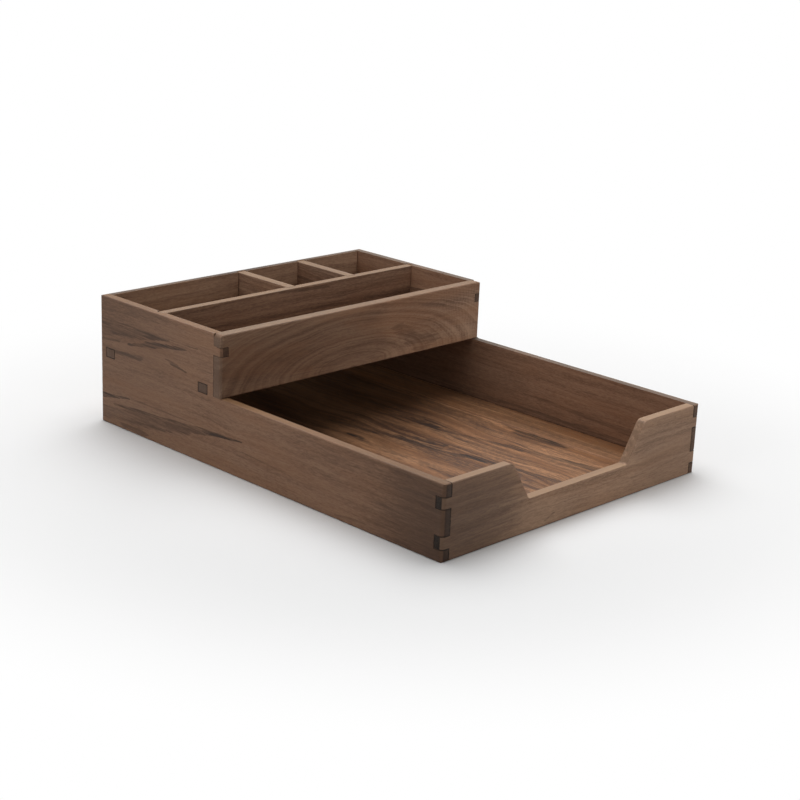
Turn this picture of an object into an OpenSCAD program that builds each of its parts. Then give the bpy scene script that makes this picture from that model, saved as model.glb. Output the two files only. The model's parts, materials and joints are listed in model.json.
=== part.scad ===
// Open desk organizer in solid walnut: a paper bay with a finger cut-out in its front
// rail, and a raised tray with dividers that bridges the rear of the bay.
// X runs to the right, Y to the rear, Z up. The origin is under the middle of the body.

/* [Body] */
// Outside width, over both side boards
body_w = 250; // [180:1:340]
// Outside depth, front rail to back board
body_d = 339; // [260:1:420]
// Height of the paper bay's rim
bay_h = 49.4; // [44:0.2:80]
// Height of the raised tray above the bay's rim
tray_h = 43.6; // [40:0.2:80]
// Outside depth of the raised tray
tray_d = 134.4; // [120:0.2:180]
// Thickness of the side boards, front rail, back board and long divider
board_t = 6.4; // [5:0.2:9]
// Thickness of the raised tray's front board
tray_front_t = 7.6; // [5:0.2:9]

/* [Edges] */
// Radius of the body's upright corners
corner_r = 3; // [1:0.5:4]
// Radius of the upright corners at the tray's front
tray_corner_r = 2.5; // [0.5:0.5:4]
// Radius of the outer edges along the top and the bottom
edge_r = 1.2; // [0.5:0.1:2]
// Radius of the back board's top outer edge
rear_edge_r = 3; // [0.5:0.1:4]
// Radius of the tray front's two top corners
tray_end_r = 3.4; // [1.2:0.1:5]

/* [Front corner joints] */
// Height of the side board's lowest finger
low_side_finger_h = 8; // [5:0.5:9]
// Height of the front rail's lower finger
low_rail_finger_h = 8.5; // [5:0.5:9]
// Height of the side board's middle finger
mid_side_finger_h = 17; // [12:0.5:18.5]
// Height of the front rail's upper finger
top_rail_finger_h = 7.5; // [4:0.5:8]

/* [Tray corner joints] */
// Height of the tray front's lower finger
low_tray_finger_h = 28.5; // [20:0.5:29]
// Height of the side board's finger between the two of the tray front
tray_side_finger_h = 6.5; // [4:0.5:7]

/* [Finger cut-out] */
// Width of the cut-out at the rail's top edge
cut_top_w = 130; // [110:1:150]
// Width of the cut-out at its lower edge
cut_low_w = 97; // [80:1:105]
// Height of the cut-out's lower edge above the desk
cut_z = 22.6; // [16:0.2:30]
// Radius where the cut-out's slopes meet the rail's top edge
cut_top_r = 5; // [1:0.5:8]
// Radius of the cut-out's two lower corners
cut_low_r = 3; // [1:0.5:8]

/* [Tray] */
// Thickness of the tray's floor
floor_t = 6.5; // [5:0.5:8]
// Width of each through tenon at the ends of the tray's floor
tenon_w = 9.5; // [6:0.5:12]
// From the tray's front face to its front tenon
front_tenon_y = 14.2; // [12:0.2:20]
// From the back board's inner face to the tray floor's rear tenon
rear_tenon_y = 1; // [0.4:0.2:12]
// Depth of the pen channel behind the tray front
channel_d = 60.3; // [40:0.1:66]
// Width of the left compartment
left_room_w = 115; // [60:1:120]
// Width of the middle compartment
middle_room_w = 51.6; // [40:0.2:60]
// Thickness of the two cross dividers
cross_t = 7.6; // [5:0.2:9]
// How far each divider's end is let into the board that it meets
housing_d = 2; // [1:0.5:3]
// How much lower than the rim the dividers end
divider_drop = 0.5; // [0:0.1:3]

/* [Base] */
// Thickness of the base
base_t = 4.4; // [3:0.2:5]
// Width of the rebate that the base sits in
rebate_w = 3; // [2:0.5:4]
// Width of the base's narrow stave, from its joint to the right side's inner face
stave_w = 30; // [20:1:80]
// Room left round the base and at the bottom of each housing
fit_gap = 0.1; // [0:0.05:0.3]

/* [Hidden] */
arc_steps = 6;
over = 1;

half_w = body_w / 2;
inner_w = half_w - board_t;
front_y = -body_d / 2;
back_y = body_d / 2;
top_z = bay_h + tray_h;
tray_y = back_y - tray_d;

low_rail_z = low_side_finger_h;
mid_side_z = low_rail_z + low_rail_finger_h;
top_rail_z = mid_side_z + mid_side_finger_h;
top_side_z = top_rail_z + top_rail_finger_h;
tray_side_z = bay_h + low_tray_finger_h;
tray_top_z = tray_side_z + tray_side_finger_h;

floor_z = bay_h + floor_t;
divider_y = tray_y + tray_front_t + channel_d;
divider_top = top_z - divider_drop;
left_divider_x = left_room_w - inner_w;
right_divider_x = left_divider_x + cross_t + middle_room_w;
stave_x = inner_w - stave_w;

walnut_face = [0.42, 0.33, 0.27];
walnut_front = [0.46, 0.37, 0.31];
walnut_tray = [0.40, 0.30, 0.24];
walnut_floor = [0.35, 0.25, 0.20];
walnut_base = [0.50, 0.38, 0.30];

function unit(v) = v / norm(v);

// Points of the round of radius r that replaces corner b between its neighbours a and c.
function corner_arc(a, b, c, r) =
    let (
        u = unit(a - b),
        v = unit(c - b),
        half = acos(u * v) / 2,
        centre = b + unit(u + v) * r / sin(half),
        start = b + u * r / tan(half) - centre,
        end = b + v * r / tan(half) - centre,
        from = atan2(start.y, start.x),
        sweep = atan2(end.y, end.x) - from,
        turn = sweep > 180 ? sweep - 360 : sweep < -180 ? sweep + 360 : sweep
    )
    [for (i = [0:arc_steps])
        let (at = from + turn * i / arc_steps)
        centre + r * [cos(at), sin(at)]];

// Outline through the corners, each rounded by the radius that stands third in it.
function rounded(corners) =
    let (n = len(corners), p = [for (c = corners) [c.x, c.y]])
    [for (i = [0:n - 1])
        each corners[i][2] > 0
            ? corner_arc(p[(i + n - 1) % n], p[i], p[(i + 1) % n], corners[i][2])
            : [p[i]]];

// Box between two opposite corners.
module box(low, high) {
    translate(low) cube(high - low);
}

// Outline in the YZ plane, carried across the whole width.
module across(points) {
    translate([-half_w - over, 0, 0])
        rotate([90, 0, 90])
            linear_extrude(body_w + 2 * over) polygon(points);
}

// Outline in the XZ plane, carried from one depth to another.
module along(points, from_y, to_y) {
    translate([0, to_y, 0])
        rotate([90, 0, 0])
            linear_extrude(to_y - from_y) polygon(points);
}

// Body seen from above, from one depth to the back, with its upright corners rounded.
module plan_form(h, from_y, front_r) {
    linear_extrude(h)
        polygon(rounded([
            [-half_w, from_y, front_r],
            [half_w, from_y, front_r],
            [half_w, back_y, corner_r],
            [-half_w, back_y, corner_r]
        ]));
}

// Body seen from the side: the low bay and the raised tray at its rear.
module side_form() {
    across(rounded([
        [front_y, 0, edge_r],
        [back_y, 0, edge_r],
        [back_y, top_z, rear_edge_r],
        [tray_y, top_z, edge_r],
        [tray_y, bay_h, 0],
        [front_y, bay_h, edge_r]
    ]));
}

// Body seen from the front, up to one height.
module front_form(h, from_y) {
    along(rounded([
        [-half_w, 0, edge_r],
        [half_w, 0, edge_r],
        [half_w, h, edge_r],
        [-half_w, h, edge_r]
    ]), from_y, back_y + over);
}

// Cuts a board to the outside of the body, with every outer edge rounded.
module shaped() {
    intersection() {
        children();
        union() {
            plan_form(bay_h, front_y, corner_r);
            plan_form(top_z, tray_y, tray_corner_r);
        }
        side_form();
        union() {
            front_form(bay_h, front_y - over);
            front_form(top_z, tray_y);
        }
    }
}

// Room in which the base lies, let into the boards round it.
module base_room() {
    reach = board_t - rebate_w;
    box([-half_w + reach, front_y + reach, -over], [half_w - reach, back_y - reach, base_t]);
}

// Through tenons at both ends of the tray's floor, and the mortises that they fill.
module tenons(extra) {
    for (y = [tray_y + front_tenon_y, back_y - board_t - rear_tenon_y - tenon_w])
        box([-half_w - extra, y, bay_h], [half_w + extra, y + tenon_w, floor_z]);
}

// Fingers of the front rail at both corners, and their sockets in the side boards.
module rail_fingers(from_x, to_x, extra) {
    for (z = [[low_rail_z, mid_side_z], [top_rail_z, top_side_z]])
        box([from_x, front_y - extra, z[0]], [to_x, front_y + board_t, z[1]]);
}

// Fingers of the tray front at both corners.
module tray_fingers(from_x, to_x) {
    box([from_x, tray_y, bay_h], [to_x, tray_y + tray_front_t, tray_side_z]);
    box([from_x, tray_y, tray_top_z], [to_x, tray_y + tray_front_t, top_z]);
}

// Housings that take the ends of the long divider in the side boards.
module long_housing() {
    reach = inner_w + housing_d + fit_gap;
    box([-reach, divider_y, floor_z], [reach, divider_y + board_t, top_z + over]);
}

// Housings that take the ends of a cross divider.
module cross_housing(x) {
    box([x, divider_y + board_t - housing_d - fit_gap, floor_z],
        [x + cross_t, back_y - board_t + housing_d + fit_gap, top_z + over]);
}

// One side board: low along the bay, high along the tray.
module side_board(x) {
    difference() {
        shaped()
            union() {
                box([x, front_y, 0], [x + board_t, back_y, bay_h]);
                box([x, tray_y + tray_front_t, bay_h], [x + board_t, back_y, top_z]);
                box([x, tray_y, tray_side_z], [x + board_t, tray_y + tray_front_t, tray_top_z]);
            }
        rail_fingers(x - over, x + board_t + over, over);
        tenons(over);
        long_housing();
        base_room();
    }
}

// Divider between the long divider and the back board.
module cross_divider(x) {
    box([x, divider_y + board_t - housing_d, floor_z],
        [x + cross_t, back_y - board_t + housing_d, divider_top]);
}

// Base between two places across the width.
module base_stave(from_x, to_x) {
    reach = board_t - rebate_w + fit_gap;
    box([from_x, front_y + reach, 0], [to_x, back_y - reach, base_t]);
}

module left_side() {
    color(walnut_face) side_board(-half_w);
}

module right_side() {
    color(walnut_face) side_board(inner_w);
}

module front_rail() {
    slope_x = (cut_top_w - cut_low_w) / 2;
    color(walnut_front)
        difference() {
            shaped()
                union() {
                    box([-inner_w, front_y, 0], [inner_w, front_y + board_t, bay_h]);
                    rail_fingers(-half_w, half_w, 0);
                }
            along(rounded([
                [-cut_top_w / 2 - slope_x, bay_h + over, 0],
                [-cut_top_w / 2 - slope_x, bay_h, 0],
                [-cut_top_w / 2, bay_h, cut_top_r],
                [-cut_low_w / 2, cut_z, cut_low_r],
                [cut_low_w / 2, cut_z, cut_low_r],
                [cut_top_w / 2, bay_h, cut_top_r],
                [cut_top_w / 2 + slope_x, bay_h, 0],
                [cut_top_w / 2 + slope_x, bay_h + over, 0]
            ]), front_y - over, front_y + board_t + over);
            base_room();
        }
}

module back_board() {
    color(walnut_face)
        difference() {
            shaped()
                box([-inner_w, back_y - board_t, 0], [inner_w, back_y, top_z]);
            base_room();
            cross_housing(left_divider_x);
            cross_housing(right_divider_x);
        }
}

module tray_front() {
    color(walnut_tray)
        intersection() {
            shaped()
                union() {
                    box([-inner_w, tray_y, bay_h], [inner_w, tray_y + tray_front_t, top_z]);
                    tray_fingers(-half_w, half_w);
                }
            across(rounded([
                [tray_y, bay_h, edge_r],
                [tray_y + tray_front_t, bay_h, 0],
                [tray_y + tray_front_t, top_z + over, 0],
                [tray_y, top_z + over, 0]
            ]));
            along(rounded([
                [-half_w, bay_h, 0],
                [half_w, bay_h, 0],
                [half_w, top_z, tray_end_r],
                [-half_w, top_z, tray_end_r]
            ]), tray_y - over, tray_y + tray_front_t + over);
        }
}

module tray_floor() {
    color(walnut_floor)
        union() {
            box([-inner_w, tray_y + tray_front_t, bay_h], [inner_w, back_y - board_t, floor_z]);
            tenons(0);
        }
}

module long_divider() {
    reach = inner_w + housing_d;
    color(walnut_tray)
        difference() {
            box([-reach, divider_y, floor_z], [reach, divider_y + board_t, divider_top]);
            cross_housing(left_divider_x);
            cross_housing(right_divider_x);
        }
}

module cross_divider_left() {
    color(walnut_tray) cross_divider(left_divider_x);
}

module cross_divider_right() {
    color(walnut_tray) cross_divider(right_divider_x);
}

module base_stave_wide() {
    color(walnut_base) base_stave(-inner_w - rebate_w + fit_gap, stave_x);
}

module base_stave_narrow() {
    color(walnut_base) base_stave(stave_x, inner_w + rebate_w - fit_gap);
}

left_side();
right_side();
front_rail();
back_board();
tray_front();
tray_floor();
long_divider();
cross_divider_left();
cross_divider_right();
base_stave_wide();
base_stave_narrow();
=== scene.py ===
"""Walnut desk organizer: the looks of its boards, a pale studio and the photographed view.

Every length is in metres in the row's frame, except inside the wood patterns, which count
millimetres along, across and through each board.
"""

import sys

import json
import logging
import math
from dataclasses import dataclass, field
from enum import Enum
from typing import Any

import bmesh
import bpy
from bpy.types import Material, Mesh, Node, NodeSocket, NodeTree, Object
from mathutils import Matrix, Vector
from mathutils.bvhtree import BVHTree

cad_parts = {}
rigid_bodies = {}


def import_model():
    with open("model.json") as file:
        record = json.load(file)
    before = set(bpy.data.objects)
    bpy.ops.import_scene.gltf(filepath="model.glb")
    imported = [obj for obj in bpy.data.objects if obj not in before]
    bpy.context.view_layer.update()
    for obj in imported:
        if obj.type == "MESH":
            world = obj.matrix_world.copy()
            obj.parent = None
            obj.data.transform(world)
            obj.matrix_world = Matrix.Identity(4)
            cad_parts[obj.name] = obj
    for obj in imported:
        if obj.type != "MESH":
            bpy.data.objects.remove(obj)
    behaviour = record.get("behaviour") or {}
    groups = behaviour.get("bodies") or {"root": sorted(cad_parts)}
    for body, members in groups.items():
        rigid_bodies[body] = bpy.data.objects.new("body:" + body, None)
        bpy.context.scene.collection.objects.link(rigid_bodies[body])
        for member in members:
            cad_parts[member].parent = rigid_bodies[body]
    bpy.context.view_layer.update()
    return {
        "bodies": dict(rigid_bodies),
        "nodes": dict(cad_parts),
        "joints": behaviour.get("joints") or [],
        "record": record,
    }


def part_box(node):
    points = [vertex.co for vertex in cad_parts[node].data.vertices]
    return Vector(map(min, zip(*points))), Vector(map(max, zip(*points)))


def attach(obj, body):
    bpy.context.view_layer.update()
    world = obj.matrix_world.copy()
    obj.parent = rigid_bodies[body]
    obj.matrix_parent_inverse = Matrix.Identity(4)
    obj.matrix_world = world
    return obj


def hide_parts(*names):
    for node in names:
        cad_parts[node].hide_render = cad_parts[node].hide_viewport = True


LOG = logging.getLogger("desk_organizer")
PHOTO_PIXELS = 800
SENSOR = 36.0
BODY = "root"
MM_PER_M = 1000.0
JOINT = "joint"
SEED_STEPS = (137.0, 71.0, 53.0)

Colour = tuple[float, float, float, float]
Triple = tuple[float, float, float]

WHITE: Colour = (1.0, 1.0, 1.0, 1.0)


def srgb(red: int, green: int, blue: int) -> Colour:
    """Turns a colour as a screen shows it into the linear colour that shaders take.

    Args:
        red: Red, from 0 to 255.
        green: Green, from 0 to 255.
        blue: Blue, from 0 to 255.

    Returns:
        The linear colour with full alpha.
    """
    parts = [channel / 255 for channel in (red, green, blue)]
    linear = [c / 12.92 if c <= 0.04045 else ((c + 0.055) / 1.055) ** 2.4 for c in parts]
    return (linear[0], linear[1], linear[2], 1.0)


# Colour of the joints: the glue, with painted shade for the gap beside it.
GLUE_AND_GAP_SHADE = srgb(36, 28, 25)


class Grain(Enum):
    """The axes that run along, across and through a board's grain: 0 is X, 1 is Y, 2 is Z."""

    SIDE_BOARD = (1, 2, 0)
    CROSS_BOARD = (0, 2, 1)
    TRAY_FLOOR = (0, 1, 2)
    BASE = (1, 0, 2)

    def along(self) -> Triple:
        """Returns the unit vector that the grain runs along."""
        return tuple(float(axis == self.value[0]) for axis in range(3))


class Noise(Enum):
    """The noises in the wood.

    Each has its waves in a millimetre along, across and through the board, then its octaves of
    finer noise and their strength.
    """

    RING_SWAY = ((0.012, 0.03, 0.03), 2.0, 0.55)
    RING_RIPPLE = ((0.04, 0.16, 0.16), 3.0, 0.55)
    TONE_DRIFT = ((0.006, 0.035, 0.035), 3.0, 0.55)
    WARM_PATCH = ((0.011, 0.06, 0.06), 3.0, 0.55)
    GRAIN_WAVE = ((0.014, 0.035, 0.035), 2.0, 0.55)
    CURL_SWAY = ((0.05, 0.08, 0.08), 2.0, 0.55)
    COARSE_FIBRE = ((0.04, 0.5, 0.5), 4.0, 0.65)
    FINE_FIBRE = ((0.24, 1.3, 1.3), 3.0, 0.75)
    PORE = ((0.28, 1.9, 1.9), 2.0, 0.6)
    CROWDING = ((0.015, 0.12, 0.12), 2.0, 0.55)
    FLECK = ((0.035, 0.42, 0.42), 4.0, 0.6)
    STREAK_PULL = ((0.03, 0.22, 0.22), 4.0, 0.6)
    STREAK_THREAD = ((0.035, 0.7, 0.7), 5.0, 0.7)
    KNOT_FRAY = ((0.12, 0.5, 0.5), 3.0, 0.55)
    CUT_RING = ((0.0, 0.5, 1.6), 3.0, 0.55)
    CUT_PORE = ((0.3, 5.0, 5.0), 1.0, 0.55)
    ARRIS_PATCH = ((0.03, 0.3, 0.3), 3.0, 0.55)
    RIM_PATCH = ((0.02, 0.2, 0.2), 3.0, 0.55)
    GLUE_AND_SHADE_PATCH = ((0.1, 0.3, 0.3), 2.0, 0.55)


@dataclass(frozen=True)
class StreakAndShade:
    """A dark heartwood line that tapers from one end to the other, in millimetres; given blunt ends
    and great widths, it lays a broad patch of painted shade.

    Attributes:
        from_along: Place of its first end along the grain.
        from_across: Place of its first end across the grain.
        to_along: Place of its second end along the grain.
        to_across: Place of its second end across the grain.
        from_width: Half its width at the first end.
        to_width: Half its width at the second end.
        strength: How dark it is, from 0 to 1.
        ragged: How far the fibres pull its edge about.
        blunt: How blunt its ends are, from long points near 0 to round ends at 1, as the patches of
            painted shade have.
    """

    from_along: float
    from_across: float
    to_along: float
    to_across: float
    from_width: float
    to_width: float
    strength: float = 0.8
    ragged: float = 3.0
    blunt: float = 0.3


@dataclass(frozen=True)
class Knot:
    """A small knot that the grain flows round, in millimetres in its board's directions.

    Attributes:
        along: Place along the grain.
        across: Place across the grain.
        radius: Radius of its dark core.
        strength: How dark the core is, from 0 to 1.
    """

    along: float
    across: float
    radius: float
    strength: float = 0.85


@dataclass(frozen=True)
class WalnutTone:
    """Colours of one board, as they look in plain light.

    Attributes:
        pale: Early wood.
        body: The board's middle colour.
        deep: Late wood.
        warm: Redder wood that shows in patches.
        streak_and_shade: Heartwood lines and knots, and the broad patches of painted shade.
        end: End grain.
        worn: Arrises, which hands and oil have darkened.
    """

    pale: Colour
    body: Colour
    deep: Colour
    warm: Colour
    streak_and_shade: Colour
    end: Colour
    worn: Colour


class NodeWeb:
    """Adds nodes to one node tree and links them."""

    # A Mix node has its colour sockets at these places, under names that its other kinds share.
    MIX_BASE = 6
    MIX_OTHER = 7
    MIX_RESULT = 2

    def __init__(self, tree: NodeTree) -> None:
        """Starts on a tree.

        Args:
            tree: The tree that receives the nodes.
        """
        self.tree = tree

    def feed(self, socket: NodeSocket, value: Any) -> None:
        """Links a socket to another one, or sets its own value.

        Args:
            socket: The input socket.
            value: An output socket, or a plain value.
        """
        if isinstance(value, NodeSocket):
            self.tree.links.new(value, socket)
        else:
            socket.default_value = value

    def add(self, kind: str, feeds: dict[str | int, Any] | None = None, **settings: Any) -> Node:
        """Adds a node, sets its properties and then feeds its inputs.

        Args:
            kind: Blender's name for the node.
            feeds: Sockets or plain values by the input's name or number.
            **settings: Property names and their values.

        Returns:
            The new node.
        """
        node = self.tree.nodes.new(kind)
        for name, value in settings.items():
            setattr(node, name, value)
        for key, value in (feeds or {}).items():
            self.feed(node.inputs[key], value)
        return node

    def math(self, operation: str, first: Any, second: Any = 0.0, clamp: bool = False) -> NodeSocket:
        """Adds a Math node.

        Args:
            operation: Name of the operation.
            first: First operand.
            second: Second operand.
            clamp: Keeps the result between 0 and 1.

        Returns:
            The result.
        """
        feeds = {0: first, 1: second}
        return self.add("ShaderNodeMath", feeds, operation=operation, use_clamp=clamp).outputs[0]

    def vector(self, operation: str, first: Any, second: Any = (0.0, 0.0, 0.0)) -> NodeSocket:
        """Adds a Vector Math node.

        Args:
            operation: Name of the operation.
            first: First operand.
            second: Second operand, or the factor of a SCALE.

        Returns:
            The result, a number for LENGTH and DOT_PRODUCT.
        """
        feeds = {0: first}
        if operation == "SCALE":
            feeds["Scale"] = second
        elif operation != "LENGTH":
            feeds[1] = second
        node = self.add("ShaderNodeVectorMath", feeds, operation=operation)
        return node.outputs["Value" if operation in ("LENGTH", "DOT_PRODUCT") else "Vector"]

    def combine(self, x: Any, y: Any, z: Any) -> NodeSocket:
        """Returns a vector made of three numbers or sockets."""
        return self.add("ShaderNodeCombineXYZ", {0: x, 1: y, 2: z}).outputs[0]

    def split(self, vector: NodeSocket) -> list[NodeSocket]:
        """Returns the three parts of a vector."""
        return list(self.add("ShaderNodeSeparateXYZ", {0: vector}).outputs)

    def noise(self, place: NodeSocket, kind: Noise, output: str = "Fac") -> NodeSocket:
        """Adds a noise that is stretched along the grain.

        Args:
            place: Place in the board.
            kind: Which of the wood's noises it is.
            output: "Fac" for a number or "Color" for a vector.

        Returns:
            The noise.
        """
        waves, detail, roughness = kind.value
        feeds = {
            "Vector": self.vector("MULTIPLY", place, waves),
            "Scale": 1.0,
            "Detail": detail,
            "Roughness": roughness,
        }
        return self.add("ShaderNodeTexNoise", feeds).outputs[output]

    def remap(
        self, value: NodeSocket, low: Any, high: Any, to_low: float = 0.0, to_high: float = 1.0
    ) -> NodeSocket:
        """Moves a value smoothly from one range to another and keeps it inside.

        Args:
            value: The value.
            low: Where its range starts.
            high: Where its range ends.
            to_low: Start of the new range.
            to_high: End of the new range.

        Returns:
            The moved value.
        """
        feeds = {
            "Value": value,
            "From Min": low,
            "From Max": high,
            "To Min": to_low,
            "To Max": to_high,
        }
        node = self.add("ShaderNodeMapRange", feeds, interpolation_type="SMOOTHSTEP")
        return node.outputs["Result"]

    def swing(self, value: NodeSocket, amount: Any) -> NodeSocket:
        """Returns a 0 to 1 value moved to swing about 0 by half an amount each way."""
        return self.math("MULTIPLY", self.math("SUBTRACT", value, 0.5), amount)

    def mean(self, first: NodeSocket, second: NodeSocket, share: float) -> NodeSocket:
        """Adds up two values by their shares.

        Args:
            first: First value.
            second: Second value.
            share: The first one's share of 1.

        Returns:
            The weighted mean.
        """
        rest = self.math("MULTIPLY", second, 1.0 - share)
        return self.math("ADD", self.math("MULTIPLY", first, share), rest)

    def blend(self, share: Any, base: Any, other: Any) -> NodeSocket:
        """Blends two colours.

        Args:
            share: Share of the other colour.
            base: Base colour.
            other: Other colour.

        Returns:
            The blended colour.
        """
        feeds = {"Factor": share, self.MIX_BASE: base, self.MIX_OTHER: other}
        node = self.add("ShaderNodeMix", feeds, data_type="RGBA", clamp_factor=True)
        return node.outputs[self.MIX_RESULT]

    def place(self, group: NodeTree, **inputs: Any) -> Node:
        """Places a node group and feeds its named inputs.

        Args:
            group: The node group.
            **inputs: Values by the input's name, with an underscore for each space.

        Returns:
            The group node.
        """
        feeds = {name.replace("_", " "): value for name, value in inputs.items()}
        return self.add("ShaderNodeGroup", feeds, node_tree=group)


@dataclass(frozen=True)
class Socket:
    """One named input of a node group.

    Attributes:
        name: The input's name.
        kind: Blender's socket type.
        value: The value when nothing feeds it.
    """

    name: str
    kind: str = "NodeSocketFloat"
    value: Any = None


PLACE = Socket("Place", "NodeSocketVector")


@dataclass
class WoodEffects:
    """Shader node groups that the walnut finishes share.

    Attributes:
        figure: Growth rings and broad changes of tone.
        fibre: Fine fibres and open pores.
        streak_and_shade: One dark heartwood line; the same group lays each broad patch of painted
            shade.
        knot: One knot, and how the grain bends round it.
        end_grain: Where a face cuts the grain, and what shows there.
        arris_wear: Where sanding and hands have worn an arris.
        top_edge: Where a board's surface faces up.
    """

    RIPPLE_SHARE = 0.14  # of the rings' slow wander
    PULL_ALONG = 5.0  # times further along the grain than across it
    THREAD_REACH = -1.7  # half-widths that the fibres move a streak's edge
    SOFT_ENDS = 0.4  # half-widths of blur round a blunt streak
    KNOT_REACH = 3.2  # core radii over which the grain bends
    KNOT_BEND = -0.75  # share of its distance by which the grain gives way

    figure: NodeTree = field(init=False)
    fibre: NodeTree = field(init=False)
    streak_and_shade: NodeTree = field(init=False)
    knot: NodeTree = field(init=False)
    end_grain: NodeTree = field(init=False)
    arris_wear: NodeTree = field(init=False)
    top_edge: NodeTree = field(init=False)

    def __post_init__(self) -> None:
        """Builds each group once."""
        self.figure = self.build_figure()
        self.fibre = self.build_fibre()
        self.streak_and_shade = self.build_streak_and_shade()
        self.knot = self.build_knot()
        self.end_grain = self.build_end_grain()
        self.arris_wear = self.build_arris_wear()
        self.top_edge = self.build_top_edge()

    @staticmethod
    def start(name: str, inputs: list[Socket], outputs: list[Socket]) -> tuple[NodeWeb, Any, Any]:
        """Makes an empty group.

        Args:
            name: The group's name.
            inputs: Its inputs.
            outputs: Its outputs.

        Returns:
            The web to build in, the group's input sockets and its output sockets.
        """
        tree = bpy.data.node_groups.new(name, "ShaderNodeTree")
        for direction, sockets in (("INPUT", inputs), ("OUTPUT", outputs)):
            for socket in sockets:
                made = tree.interface.new_socket(
                    name=socket.name, in_out=direction, socket_type=socket.kind
                )
                if socket.value is not None:
                    made.default_value = socket.value
        web = NodeWeb(tree)
        taken = web.add("NodeGroupInput").outputs
        given = web.add("NodeGroupOutput").inputs
        return web, taken, given

    def build_figure(self) -> NodeTree:
        """Growth rings round the tree's heart, pulled about by slow noise.

        Returns:
            The group, with outputs Rings and Drift between 0 and 1.
        """
        web, taken, given = self.start(
            "growth_rings",
            [
                PLACE,
                Socket("Heart", "NodeSocketVector"),
                Socket("Stretch", value=0.05),
                Socket("Ring Gap", value=3.0),
                Socket("Wobble", value=8.0),
            ],
            [Socket("Rings"), Socket("Drift")],
        )
        place = taken["Place"]
        from_heart = web.vector("SUBTRACT", place, taken["Heart"])
        flattened = web.vector("MULTIPLY", from_heart, web.combine(taken["Stretch"], 1.0, 0.5))
        sway = web.swing(web.noise(place, Noise.RING_SWAY), taken["Wobble"])
        nudge = web.math("MULTIPLY", taken["Wobble"], self.RIPPLE_SHARE)
        ripple = web.swing(web.noise(place, Noise.RING_RIPPLE), nudge)
        radius = web.math("ADD", web.vector("LENGTH", flattened), sway)
        radius = web.math("ADD", radius, ripple)
        rings = {
            "W": web.math("DIVIDE", radius, taken["Ring Gap"]),
            "Scale": 1.0,
            "Detail": 3.0,
            "Roughness": 0.7,
        }
        bands = web.add("ShaderNodeTexNoise", rings, noise_dimensions="1D")
        web.feed(given["Rings"], web.remap(bands.outputs["Fac"], 0.28, 0.72))
        web.feed(given["Drift"], web.remap(web.noise(place, Noise.TONE_DRIFT), 0.3, 0.7))
        return web.tree

    def build_fibre(self) -> NodeTree:
        """Fine fibres, the short open pores between them and longer dark flecks.

        Returns:
            The group, with outputs Fibre, Pores and Flecks between 0 and 1.
        """
        web, taken, given = self.start(
            "wood_fibre", [PLACE], [Socket("Fibre"), Socket("Pores"), Socket("Flecks")]
        )
        place = taken["Place"]
        coarse = web.noise(place, Noise.COARSE_FIBRE)
        fine = web.noise(place, Noise.FINE_FIBRE)
        web.feed(given["Fibre"], web.remap(web.mean(coarse, fine, 0.4), 0.38, 0.62))
        crowded = web.remap(web.noise(place, Noise.CROWDING), 0.35, 0.65, 0.35, 1.0)
        pores = web.remap(web.noise(place, Noise.PORE), 0.55, 0.68)
        web.feed(given["Pores"], web.math("MULTIPLY", pores, crowded))
        flecks = web.remap(web.noise(place, Noise.FLECK), 0.56, 0.7)
        web.feed(given["Flecks"], web.math("MULTIPLY", flecks, crowded))
        return web.tree

    def build_streak_and_shade(self) -> NodeTree:
        """One dark line that tapers between two points, with a fibrous edge; broad and blunt, it lays
        painted shade.

        Returns:
            The group, with output Mask between 0 and 1.
        """
        web, taken, given = self.start(
            "heartwood_streak_and_painted_shade",
            [
                PLACE,
                Socket("Pull", "NodeSocketVector"),
                Socket("Threads", value=0.5),
                Socket("From", "NodeSocketVector"),
                Socket("To", "NodeSocketVector"),
                Socket("From Width", value=2.0),
                Socket("To Width", value=1.0),
                Socket("Ragged", value=3.0),
                Socket("Blunt", value=1.0),
            ],
            [Socket("Mask")],
        )
        ragged = taken["Ragged"]
        reach = web.combine(web.math("MULTIPLY", ragged, self.PULL_ALONG), ragged, 0.0)
        pulled = web.vector("ADD", taken["Place"], web.vector("MULTIPLY", taken["Pull"], reach))
        local = web.vector("MULTIPLY", web.vector("SUBTRACT", pulled, taken["From"]), (1.0, 1.0, 0.0))
        run = web.vector("SUBTRACT", taken["To"], taken["From"])
        passed = web.vector("DOT_PRODUCT", local, run)
        whole = web.vector("DOT_PRODUCT", run, run)
        share = web.math("DIVIDE", passed, whole, clamp=True)
        off = web.vector("SUBTRACT", local, web.vector("SCALE", run, share))
        away = web.vector("LENGTH", web.vector("MULTIPLY", off, web.combine(taken["Blunt"], 1.0, 0.0)))
        widening = web.math("SUBTRACT", taken["To Width"], taken["From Width"])
        width = web.math("ADD", taken["From Width"], web.math("MULTIPLY", widening, share))
        threads = web.swing(taken["Threads"], self.THREAD_REACH)
        edge = web.math("ADD", web.math("DIVIDE", away, width), threads)
        soft = web.math("MULTIPLY", taken["Blunt"], self.SOFT_ENDS)
        mask = web.remap(edge, web.math("ADD", soft, 1.05), web.math("SUBTRACT", 0.9, soft))
        fibrous = web.remap(taken["Threads"], 0.36, 0.6, 0.35, 1.0)
        fibrous = web.math("MAXIMUM", fibrous, web.math("MULTIPLY", taken["Blunt"], 0.9))
        web.feed(given["Mask"], web.math("MULTIPLY", mask, fibrous))
        return web.tree

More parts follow.
